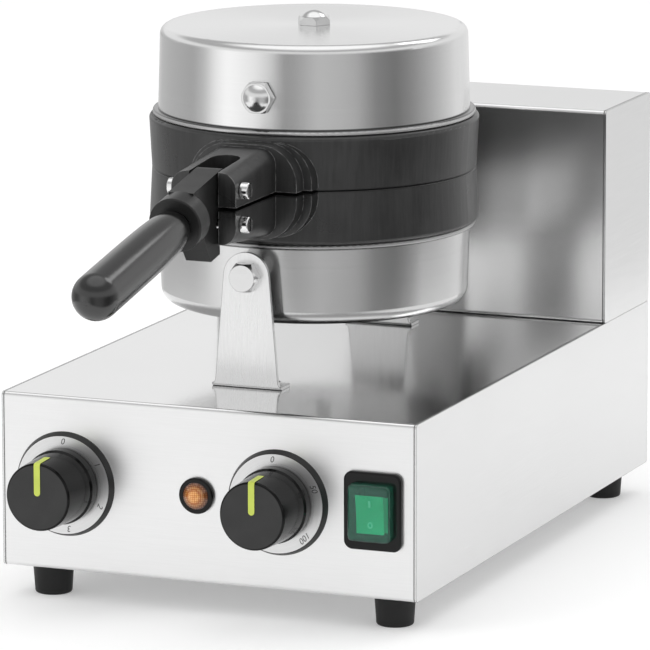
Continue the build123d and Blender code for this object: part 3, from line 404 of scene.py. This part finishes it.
def spun_steel(name, level, roughness, rim, crease):
    """A spun steel shell, with its grain round the head's axis.

    Its bead, from the rim to the crease, is duller, and the crease gets a painted dark line of shade."""
    line_haze = 0.01
    material, tree, shader = new_finish(name, grey(level), roughness, 1.0, Anisotropic=0.65,
                                        Anisotropic_Rotation=0.25)
    tangent = put(tree, "ShaderNodeTangent", direction_type="RADIAL", axis="Z")
    feed(tree, shader["Tangent"], tangent.outputs[0])
    grain = use(tree, turned_grain, "Shade", Centre=head_axis, Pitch=0.5 * MM)
    patches = use(tree, soft_cloud, "Shade", Size=60 * MM)
    height = part_of(tree, object_place(tree), "Z")
    # A painted dark line of shade along the crease.
    dark = narrowed(tree, distance_from(tree, height, crease), crease_width, crease_width / 3)
    bead = math_of(tree, "MULTIPLY", narrowed(tree, height, crease, rim), bead_sharpness, clamp=True)
    color = mixed(tree, grain, grey(level * 0.98), grey(level * 1.02))
    color = mixed(tree, bead, color, grey(level * bead_shade))
    feed(tree, shader["Base Color"], mixed(tree, dark, color, grey(painted_crease_shade_level)))
    hazy = between(tree, patches, roughness * 0.92, roughness * 1.08)
    dull = plus(tree, hazy, times(tree, bead, bead_haze))
    feed(tree, shader["Roughness"], plus(tree, dull, between(tree, grain, -line_haze, line_haze)))
    feed(tree, shader["Normal"], bumped(tree, grain, distance=0.0008 * MM, strength=0.3))
    return material


def turned_metal(name, color, roughness, pitch, axis=(0.0, 0.0, 1.0)):
    """A turned or pressed bright metal piece, with faint tool lines and a painted dark line of shade along
    its fine edges.
    """
    material, tree, shader = new_finish(name, color, roughness, 1.0)
    grain = use(tree, turned_grain, "Shade", Axis=axis, Pitch=pitch)
    patches = use(tree, soft_cloud, "Shade", Size=9 * MM)
    edge = use(tree, painted_edge_shade, "Mask", Width=0.5 * MM)
    lined = mixed(tree, grain, scaled(color, 0.9), color)
    # Sharp edges get a painted dark line of shade.
    feed(tree, shader["Base Color"], mixed(tree, edge, lined, scaled(color, 0.16)))
    feed(tree, shader["Roughness"], between(tree, patches, roughness * 0.8, roughness * 1.25))
    feed(tree, shader["Normal"], bumped(tree, grain, distance=0.003 * MM, strength=0.5))
    return material


def moulded(name, color, roughness, grain_size=0.35 * MM, depth=0.012 * MM, edge_paler=1.6, **constants):
    """Moulded plastic, rubber or paint: a fine skin, uneven gloss and slightly paler edges."""
    material, tree, shader = new_finish(name, color, roughness, **constants)
    skin = use(tree, moulded_skin, "Height", Size=grain_size)
    patches = use(tree, soft_cloud, "Shade", Size=14 * MM)
    edge = use(tree, worn_and_highlight_edge, "Mask", Width=0.35 * MM)
    patchy = mixed(tree, patches, scaled(color, 0.88), color)
    feed(tree, shader["Base Color"], mixed(tree, edge, patchy, scaled(color, edge_paler)))
    feed(tree, shader["Roughness"], between(tree, patches, roughness * 0.88, roughness * 1.12))
    feed(tree, shader["Normal"], bumped(tree, skin, distance=depth, strength=0.7))
    return material


def cast_plate_finish():
    """Dark coated casting: machining streaks down the turned rim, pale edges that are partly rubbed wear
    and partly a painted highlight, and a painted dark line of shade at the parting.
    """
    patch_share = 0.3
    rubbed_and_highlight_share = 0.85
    streak_share = 0.6
    skin_share = 0.4
    material, tree, shader = new_finish("cast plate", grey(0.016), 0.3, IOR=1.58)
    streaks = use(tree, brushed_grain, "Shade", Stretch=(420.0, 420.0, 26.0))
    patches = use(tree, soft_cloud, "Shade", Size=22 * MM)
    skin = use(tree, moulded_skin, "Height", Size=0.9 * MM)
    edge = use(tree, worn_and_highlight_edge, "Mask", Width=0.9 * MM)
    color = mixed(tree, streaks, grey(0.005), grey(0.024))
    color = mixed(tree, times(tree, patches, patch_share), color, grey(0.034))
    # Pale edges: partly rubbed wear, partly a painted highlight.
    color = mixed(tree, times(tree, edge, rubbed_and_highlight_share), color, grey(0.24))
    # A painted dark line of shade along the parting of the plates.
    height = part_of(tree, object_place(tree), "Z")
    dark = narrowed(tree, distance_from(tree, height, parting_z), parting_width, parting_width / 2)
    feed(tree, shader["Base Color"], mixed(tree, dark, color, grey(0.001)))
    feed(tree, shader["Roughness"], between(tree, patches, 0.27, 0.36))
    relief = plus(tree, times(tree, streaks, streak_share), times(tree, skin, skin_share))
    feed(tree, shader["Normal"], bumped(tree, relief, distance=0.05 * MM, strength=0.7))
    return material


def dial_finish():
    """The bare metal of the dial rings, with lines round each dial's own middle."""
    material, tree, shader = new_finish("dial metal", grey(0.8), 0.3, 1.0)
    across = part_of(tree, object_place(tree), "X")
    right = math_of(tree, "GREATER_THAN", across, (timer_x + thermostat_x) / 2)
    centre_x = between(tree, right, timer_x, thermostat_x)
    centre = put(tree, "ShaderNodeCombineXYZ", {"X": centre_x, "Y": panel_y, "Z": controls_z}).outputs[0]
    grain = use(tree, turned_grain, "Shade", Centre=centre, Axis=(0.0, 1.0, 0.0), Pitch=0.22 * MM)
    feed(tree, shader["Base Color"], mixed(tree, grain, grey(0.66), grey(0.76)))
    feed(tree, shader["Roughness"], between(tree, grain, 0.26, 0.36))
    feed(tree, shader["Normal"], bumped(tree, grain, distance=0.0015 * MM, strength=0.5))
    return material


def knob_finish():
    """Black knobs: a matt face, painted a lighter grey for the light that falls on it from the front, and
    glossy sides.
    """
    matt_haze = 0.3
    material, tree, shader = new_finish("knob black", grey(0.01), 0.3, IOR=1.24)
    skin = use(tree, moulded_skin, "Height", Size=0.3 * MM)
    patches = use(tree, soft_cloud, "Shade", Size=14 * MM)
    # The face is painted lighter than the sides, for the front light on it.
    face = narrowed(tree, part_of(tree, surface_normal(tree), "Y"), -0.9, -0.995)
    matt = mixed(tree, patches, grey(0.04), grey(0.048))
    feed(tree, shader["Base Color"], mixed(tree, face, grey(0.005), matt))
    gloss = between(tree, patches, 0.12, 0.17)
    feed(tree, shader["Roughness"], plus(tree, gloss, times(tree, face, matt_haze)))
    feed(tree, shader["Normal"], bumped(tree, skin, distance=0.004 * MM, strength=0.5))
    return material


def amber_finish():
    """The lamp's amber lens: brown at its rim, golden in the middle, with fine prisms behind its face."""
    glow = 0.12
    amber = screen(186, 104, 36)
    material, tree, shader = new_finish("lamp amber", amber, 0.22, Coat_Weight=0.6, Coat_Roughness=0.06,
                                        Emission_Strength=glow)
    place = object_place(tree)
    cells = put(tree, "ShaderNodeTexVoronoi", {"Vector": place, "Scale": 900.0, "Randomness": 0.15})
    dots = narrowed(tree, cells.outputs["Distance"], 0.25, 0.6)
    lens_middle = (lamp_x, lens_front_y, controls_z)
    outward = vector_of(tree, "DISTANCE", place, lens_middle).outputs["Value"]
    rim = narrowed(tree, outward, lens_radius * 0.3, lens_radius)
    golden = mixed(tree, dots, screen(232, 176, 104), screen(186, 100, 22))
    brown = mixed(tree, dots, screen(128, 84, 60), screen(72, 40, 26))
    color = mixed(tree, rim, golden, brown)
    feed(tree, shader["Base Color"], color)
    feed(tree, shader["Emission Color"], color)
    feed(tree, shader["Normal"], bumped(tree, dots, distance=0.03 * MM, strength=0.5))
    return material


def cover_finish():
    """The soft clear cover over the rocker: tinted, seen through, and a little hazy."""
    tint = screen(150, 238, 212)
    material, tree, shader = new_finish("switch cover", tint, 0.04, Transmission_Weight=0.96, IOR=1.42)
    haze = use(tree, soft_cloud, "Shade", Size=6 * MM)
    skin = use(tree, moulded_skin, "Height", Size=1.2 * MM)
    feed(tree, shader["Base Color"], mixed(tree, haze, screen(138, 232, 204), tint))
    feed(tree, shader["Roughness"], between(tree, haze, 0.02, 0.06))
    feed(tree, shader["Normal"], bumped(tree, skin, distance=0.01 * MM, strength=0.4))
    return material


def dress(material, *nodes):
    """Gives nodes of the CAD their finish."""
    for name in nodes:
        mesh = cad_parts[name].data
        mesh.materials.clear()
        mesh.materials.append(material)


# How the grain of the sheets lies: scratches in a metre along x, y and z
fine_along_x = (40.0, 1500.0, 1500.0)
fine_along_y = (1500.0, 40.0, 1500.0)
fine_along_z = (1300.0, 1300.0, 60.0)
coarse_along_x = (60.0, 900.0, 900.0)

# Bright metal
case_sheet = satin_sheet("case sheet", level=0.82, roughness=0.3, stretch=fine_along_x,
                         contrast=0.02, polished=0.19)
# The same steel as the case sheet, painted darker: painted shade on the sides of the case and box.
side_sheet = satin_sheet("side sheet", level=0.75, roughness=0.24, stretch=fine_along_y)
box_sheet = satin_sheet("box sheet", level=0.88, roughness=0.2, stretch=fine_along_x,
                        contrast=0.02, drawn_out=0.9)
plain_sheet = satin_sheet("plain sheet", level=0.6, roughness=0.38, stretch=coarse_along_x, contrast=0.08)
bracket_sheet = satin_sheet("bracket sheet", level=0.8, roughness=0.28, stretch=fine_along_z, contrast=0.05)
lid_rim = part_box("lid_shell")[0].z
lower_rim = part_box("lower_shell")[1].z
lid_steel = spun_steel("lid steel", level=0.77, roughness=0.18, rim=lid_rim, crease=lid_rim + bead_height)
lower_steel = spun_steel("lower shell steel", level=0.64, roughness=0.19, rim=lower_rim,
                         crease=lower_rim - bead_height)
bright_steel = turned_metal("bright fastener", grey(0.78), roughness=0.2, pitch=0.3 * MM)
bright_pin = turned_metal("bright pin", grey(0.86), roughness=0.12, pitch=0.25 * MM, axis=(1.0, 0.0, 0.0))
dial_metal = dial_finish()

# Dark and coloured metal
cast_plate = cast_plate_finish()
black_casting = moulded("black casting", grey(0.013), roughness=0.34, grain_size=1.1 * MM,
                        depth=0.05 * MM, edge_paler=2.4, IOR=1.42)
heater_sheath = turned_metal("heater sheath", (0.34, 0.31, 0.28, 1.0), roughness=0.5, pitch=0.8 * MM)
bulb_copper = turned_metal("bulb copper", (0.72, 0.42, 0.28, 1.0), roughness=0.35, pitch=0.5 * MM,
                           axis=(1.0, 0.0, 0.0))

# Plastic, rubber and print
black_grip = moulded("black grip", grey(0.006), roughness=0.17, grain_size=0.9 * MM, depth=0.006 * MM,
                     IOR=1.72)
knob_black = knob_finish()
bezel_black = moulded("bezel black", grey(0.02), roughness=0.4, grain_size=0.3 * MM, depth=0.015 * MM,
                      IOR=1.4)
lamp_amber = amber_finish()
inner_black = moulded("inner black", grey(0.04), roughness=0.5)
gloss_black = moulded("gloss black", grey(0.005), roughness=0.16, grain_size=0.8 * MM, depth=0.006 * MM,
                      IOR=1.32)
rocker_green = moulded("rocker green", screen(80, 214, 178), roughness=0.3, grain_size=0.6 * MM,
                       depth=0.01 * MM, edge_paler=1.15)
cover_clear = cover_finish()
foot_rubber = moulded("foot rubber", grey(0.012), roughness=0.55, grain_size=0.5 * MM, depth=0.03 * MM,
                      IOR=1.36)
terminal_white = moulded("terminal white", grey(0.68), roughness=0.4, grain_size=0.5 * MM,
                         depth=0.01 * MM, edge_paler=1.1)
print_black = moulded("print black", grey(0.05), roughness=0.5, grain_size=0.5 * MM, depth=0.004 * MM)
pointer_yellow = moulded("pointer yellow", screen(203, 217, 92), roughness=0.4, grain_size=0.4 * MM,
                         depth=0.006 * MM, edge_paler=1.1)
mark_white = moulded("mark white", screen(250, 255, 252), roughness=0.35, grain_size=0.5 * MM,
                     depth=0.004 * MM, edge_paler=1.1)

dress(case_sheet, "case_wrap")
dress(side_sheet, "side_panel_left", "side_panel_right", "box_side_left", "box_side_right")
dress(box_sheet, "box_wrap")
dress(plain_sheet, "bottom_plate", "lower_clamp", "upper_clamp", "bulb_clip")
dress(plain_sheet, "timer_body", "thermostat_body")
dress(bracket_sheet, "front_bracket", "rear_bracket")
dress(lid_steel, "lid_shell")
dress(lower_steel, "lower_shell")
dress(cast_plate, "lower_plate", "upper_plate")
dress(bright_steel, "bracket_bolts", "bracket_spacers", "hex_nuts", "cap_nuts", "lid_front_bolt")
dress(bright_steel, "panel_screws", "foot_screws", "control_nuts", "lower_stud", "upper_stud", "grip_stud")
dress(bright_steel, "timer_shaft", "thermostat_shaft")
dress(bright_pin, "catch_pin", "catch_pin_screws", "pivot_pin", "pivot_pin_screws")
dress(bright_pin, "hinge_pin", "hinge_clips")
dress(black_casting, "latch_block", "pivot_washers")
dress(black_grip, "grip")
dress(knob_black, "timer_knob", "thermostat_knob")
dress(bezel_black, "knob_bezels")
dress(dial_metal, "dial_rings")
dress(lamp_amber, "lamp_lens")
dress(inner_black, "lamp_body", "switch_body", "cable_gland")
dress(gloss_black, "switch_frame", "lamp_bezel")
dress(cover_clear, "switch_cover")
dress(rocker_green, "rocker")
dress(foot_rubber, "feet", "lid_bushing", "wire_bushings")
dress(heater_sheath, "lower_heater", "upper_heater")
dress(bulb_copper, "thermostat_bulb")
dress(terminal_white, "terminal_block")


# Pieces

def new_piece(name, mesh, material, body):
    """A made piece in its finish, which moves with a body."""
    piece = bpy.data.objects.new(name, mesh)
    bpy.context.scene.collection.objects.link(piece)
    mesh.materials.clear()
    mesh.materials.append(material)
    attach(piece, body)
    return piece


def thicken(piece, thickness, offset):
    """Gives a sheet of faces its wall: all of it behind them at offset -1, half of it at 0."""
    wall = piece.modifiers.new("thickness", "SOLIDIFY")
    wall.thickness = thickness
    wall.offset = offset


def mesh_from(name, build):
    """A mesh from what was built, which is then let go."""
    build.normal_update()
    mesh = bpy.data.meshes.new(name)
    build.to_mesh(mesh)
    build.free()
    return mesh


def grid_faces(build, rows):
    """Faces between neighbouring rows of points."""
    points = [[build.verts.new(place) for place in row] for row in rows]
    for lower, upper in zip(points, points[1:]):
        for k in range(len(lower) - 1):
            build.faces.new((lower[k], lower[k + 1], upper[k + 1], upper[k]))
    bmesh.ops.remove_doubles(build, verts=build.verts, dist=weld_distance)


def dial_print(name, dial_x, words, step, first=0.0):
    """The numbers round a dial, their tops outward, as thin raised print."""
    build = bmesh.new()
    for k, word in enumerate(words):
        text = bpy.data.curves.new("number", "FONT")
        text.body = word
        text.size = number_size
        text.shear = number_slant
        text.align_x = "CENTER"
        text.align_y = "CENTER"
        text.extrude = print_thickness / 2
        carrier = bpy.data.objects.new("number", text)
        flat = bpy.data.meshes.new_from_object(carrier)
        turn = Matrix.Rotation(-math.radians(first + k * step), 4, "Z")
        stand = Matrix.Rotation(math.radians(90), 4, "X")
        lift = Matrix.Translation((dial_x, panel_y - dial_front - print_thickness / 2, controls_z))
        flat.transform(lift @ stand @ turn @ Matrix.Translation((0.0, number_radius, 0.0)))
        build.from_mesh(flat)
        bpy.data.objects.remove(carrier)
        bpy.data.curves.remove(text)
        bpy.data.meshes.remove(flat)
    new_piece(name, mesh_from(name, build), print_black, "base")


def pointer_rows():
    """The pointer's outline up the face, over the edge and down the side: radius, height, half width."""
    half = pointer_width / 2
    face = knob_height + pointer_rise + inlay_proud
    face_radius = knob_face_radius + pointer_rise + inlay_proud
    foot_radius = knob_foot_radius + pointer_rise + inlay_proud
    edge = knob_edge + inlay_proud
    lean = math.atan2(foot_radius - face_radius, knob_height - knob_foot_height)
    edge_start = face_radius - edge * math.tan((math.pi / 2 - lean) / 2)
    round_middle = knob_face_radius - pointer_length + half
    rows = []
    for k in range(round_steps + 1):
        turn = math.pi / 2 * k / round_steps
        rows.append((round_middle - half * math.cos(turn), face, half * math.sin(turn)))
    for k in range(1, face_steps + 1):
        rows.append((round_middle + (edge_start - round_middle) * k / face_steps, face, half))
    for k in range(1, edge_steps + 1):
        turn = math.pi / 2 - (math.pi / 2 - lean) * k / edge_steps
        rows.append((edge_start + edge * math.cos(turn), face - edge + edge * math.sin(turn), half))
    side_radius, side_height, _ = rows[-1]
    low = knob_height - pointer_side
    for k in range(1, side_steps + 1):
        height = side_height + (low - side_height) * k / side_steps
        rows.append((side_radius + (side_height - height) * math.tan(lean), height, half))
    return rows, edge_start


def pointer_inlay(name, dial_x, body):
    """The yellow inlay on a knob's raised pointer."""
    rows, edge_start = pointer_rows()
    grid = []
    for radius, height, half in rows:
        row = []
        for k in range(-half_steps, half_steps + 1):
            across = half * k / half_steps
            rounding = 0.0
            if radius >= edge_start:
                rounding = radius - math.sqrt(radius ** 2 - across ** 2)
            row.append((dial_x + across, panel_y - knob_root - height, controls_z + radius - rounding))
        grid.append(row)
    build = bmesh.new()
    grid_faces(build, grid)
    piece = new_piece(name, mesh_from(name, build), pointer_yellow, body)
    thicken(piece, inlay_thickness, -1.0)


def pressed_on(build, target, proud):
    """Lays a flat mark, drawn in x and z, on the front of a CAD node."""
    surface = BVHTree.FromObject(target, bpy.context.evaluated_depsgraph_get())
    for point in build.verts:
        start = Vector((point.co.x, panel_y - before_panel, point.co.z))
        hit = surface.ray_cast(start, Vector((0.0, 1.0, 0.0)))[0]
        point.co.y = hit.y - proud


def rocker_mark(name, outline_rows):
    """A raised white mark on the rocker, which it follows."""
    build = bmesh.new()
    grid_faces(build, outline_rows)
    pressed_on(build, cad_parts["rocker"], mark_proud)
    piece = new_piece(name, mesh_from(name, build), mark_white, "rocker")
    thicken(piece, 2 * mark_proud, 0.0)


def bar_rows(x, z, width, height):
    """An upright bar as rows of points, from its foot to its top."""
    rows = []
    for k in range(bar_rise_steps + 1):
        row = []
        for i in range(bar_width_steps + 1):
            across = width * (i / bar_width_steps - 0.5)
            up = height * (k / bar_rise_steps - 0.5)
            row.append((x + across, 0.0, z + up))
        rows.append(row)
    return rows


def oval_rows(x, z, width, height, line):
    """An upright oval line as rows of points, inner rim to outer rim."""
    rows = []
    for k in range(oval_steps + 1):
        turn = 2 * math.pi * k / oval_steps
        row = []
        for i in range(oval_line_steps + 1):
            grow = line * (i / oval_line_steps - 1)
            across = (width / 2 + grow) * math.cos(turn)
            up = (height / 2 + grow) * math.sin(turn)
            row.append((x + across, 0.0, z + up))
        rows.append(row)
    return rows


dial_print("timer_numbers", timer_x, timer_numbers, timer_step)
dial_print("thermostat_numbers", thermostat_x, thermostat_numbers, thermostat_step, thermostat_turn)
pointer_inlay("timer_pointer", timer_x, "timer_dial")
pointer_inlay("thermostat_pointer", thermostat_x, "thermostat_dial")

rocker_low, rocker_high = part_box("rocker")
on_z = rocker_high.z - mark_from_edge
off_z = rocker_low.z + mark_from_edge
rocker_mark("rocker_on_mark", bar_rows(switch_x, on_z, mark_line, on_height))
rocker_mark("rocker_off_mark", oval_rows(switch_x, off_z, off_width, off_height, off_line))


# Studio

def light_ramp(tree, along, steps):
    """Greys along a number from 0 to 1, as (place, light) steps, with 1 for the brightest light."""
    ramp = put(tree, "ShaderNodeValToRGB", {"Fac": along})
    marks = ramp.color_ramp.elements
    marks.remove(marks[0])
    marks[0].position = steps[0][0]
    marks[0].color = grey(steps[0][1] / brightest)
    for place, light in steps[1:]:
        marks.new(place).color = grey(light / brightest)
    return ramp.outputs["Color"]


def make_world():
    """White to the camera, and soft studio bands round the object in reflections and light."""
    world = bpy.data.worlds.new("studio")
    bpy.context.scene.world = world
    world.use_nodes = True
    tree = world.node_tree
    tree.nodes.clear()
    direction = put(tree, "ShaderNodeTexCoord").outputs["Generated"]
    parts = put(tree, "ShaderNodeSeparateXYZ", {"Vector": direction}).outputs
    bearing = math_of(tree, "ARCTAN2", parts["X"], times(tree, parts["Y"], -1.0))
    turn = narrowed(tree, bearing, -math.pi, math.pi)
    bands = light_ramp(tree, turn, [((degrees + 180) / 360, light) for degrees, light in studio_bands])
    sky = light_ramp(tree, parts["Z"], sky_levels)
    rise = {"Value": parts["Z"], "From Min": sky_starts, "From Max": sky_full}
    height = put(tree, "ShaderNodeMapRange", rise, interpolation_type="SMOOTHSTEP")
    studio = mixed(tree, height.outputs["Result"], bands, sky)
    soft_light = put(tree, "ShaderNodeBackground", {"Color": studio, "Strength": brightest})
    white = put(tree, "ShaderNodeBackground", {"Color": grey(1.0), "Strength": 1.0})
    rays = put(tree, "ShaderNodeLightPath").outputs
    seen = math_of(tree, "MAXIMUM", rays["Is Camera Ray"], rays["Is Transmission Ray"])
    choice = put(tree, "ShaderNodeMixShader", {0: seen, 1: soft_light.outputs[0], 2: white.outputs[0]})
    put(tree, "ShaderNodeOutputWorld", {"Surface": choice.outputs[0]})


def make_floor():
    """A pale floor that keeps the shadow. Reflections see it near the object only, as in a small set."""
    build = bmesh.new()
    bmesh.ops.create_circle(build, cap_ends=True, radius=floor_reach, segments=floor_sides)
    mesh = mesh_from("floor", build)
    floor = bpy.data.objects.new("floor", mesh)
    bpy.context.scene.collection.objects.link(floor)
    material = bpy.data.materials.new("pale floor")
    material.use_nodes = True
    tree = material.node_tree
    tree.nodes.clear()
    rays = put(tree, "ShaderNodeLightPath").outputs
    far = narrowed(tree, rays["Ray Length"], floor_in_reflections, floor_in_reflections + floor_fade)
    ground = put(tree, "ShaderNodeNewGeometry").outputs
    bearing = math.radians(floor_edge_bearing)
    outward = (math.sin(bearing), -math.cos(bearing), 0.0)
    reach = vector_of(tree, "DOT_PRODUCT", ground["Position"], outward).outputs["Value"]
    past_edge = narrowed(tree, reach, floor_edge, floor_edge + floor_edge_fade)
    dropped = times(tree, math_of(tree, "MAXIMUM", far, past_edge), rays["Is Glossy Ray"])
    hidden = math_of(tree, "MAXIMUM", dropped, ground["Backfacing"])
    glow = put(tree, "ShaderNodeEmission", {"Color": grey(1.0), "Strength": floor_glow})
    matt = put(tree, "ShaderNodeBsdfDiffuse", {"Color": grey(floor_white)})
    lit = put(tree, "ShaderNodeAddShader", {0: glow.outputs[0], 1: matt.outputs[0]})
    clear = put(tree, "ShaderNodeBsdfTransparent")
    choice = put(tree, "ShaderNodeMixShader", {0: hidden, 1: lit.outputs[0], 2: clear.outputs[0]})
    put(tree, "ShaderNodeOutputMaterial", {"Surface": choice.outputs[0]})
    mesh.materials.append(material)


def soft_lamp(name, place, size, power, in_reflections=False):
    """A large square lamp that looks at the object's middle, hidden from the camera."""
    light = bpy.data.lights.new(name, "AREA")
    light.size = size
    light.energy = power
    lamp = bpy.data.objects.new(name, light)
    bpy.context.scene.collection.objects.link(lamp)
    lamp.location = place
    lamp.rotation_mode = "QUATERNION"
    lamp.rotation_quaternion = (lamps_look_at - Vector(place)).to_track_quat("-Z", "Y")
    lamp.visible_camera = False
    lamp.visible_glossy = in_reflections


def make_camera():
    """The photograph's camera."""
    yaw = math.radians(camera_yaw)
    pitch = math.radians(camera_pitch)
    forward = Vector((-math.sin(yaw) * math.cos(pitch), math.cos(yaw) * math.cos(pitch), math.sin(pitch)))
    camera = bpy.data.objects.new("camera", bpy.data.cameras.new("camera"))
    bpy.context.scene.collection.objects.link(camera)
    camera.location = camera_place
    camera.rotation_mode = "QUATERNION"
    roll = Quaternion((0.0, 0.0, 1.0), math.radians(camera_roll))
    camera.rotation_quaternion = forward.to_track_quat("-Z", "Y") @ roll
    camera.data.lens = camera_lens
    camera.data.sensor_width = camera_sensor
    camera.data.shift_x, camera.data.shift_y = camera_shift
    camera.data.clip_end = camera_reach
    bpy.context.scene.camera = camera


make_world()
make_floor()
soft_lamp("left_lamp", place=(-1.7, -1.6, 2.4), size=2.2, power=24.0)
soft_lamp("right_lamp", place=(2.4, -1.4, 1.9), size=2.2, power=7.0)
soft_lamp("top_lamp", place=(0.0, 0.5, 3.2), size=2.6, power=7.0)
soft_lamp("back_lamp", place=(1.2, 1.9, 2.55), size=1.2, power=9.0, in_reflections=True)
make_camera()
bpy.context.scene.view_settings.view_transform = "Standard"
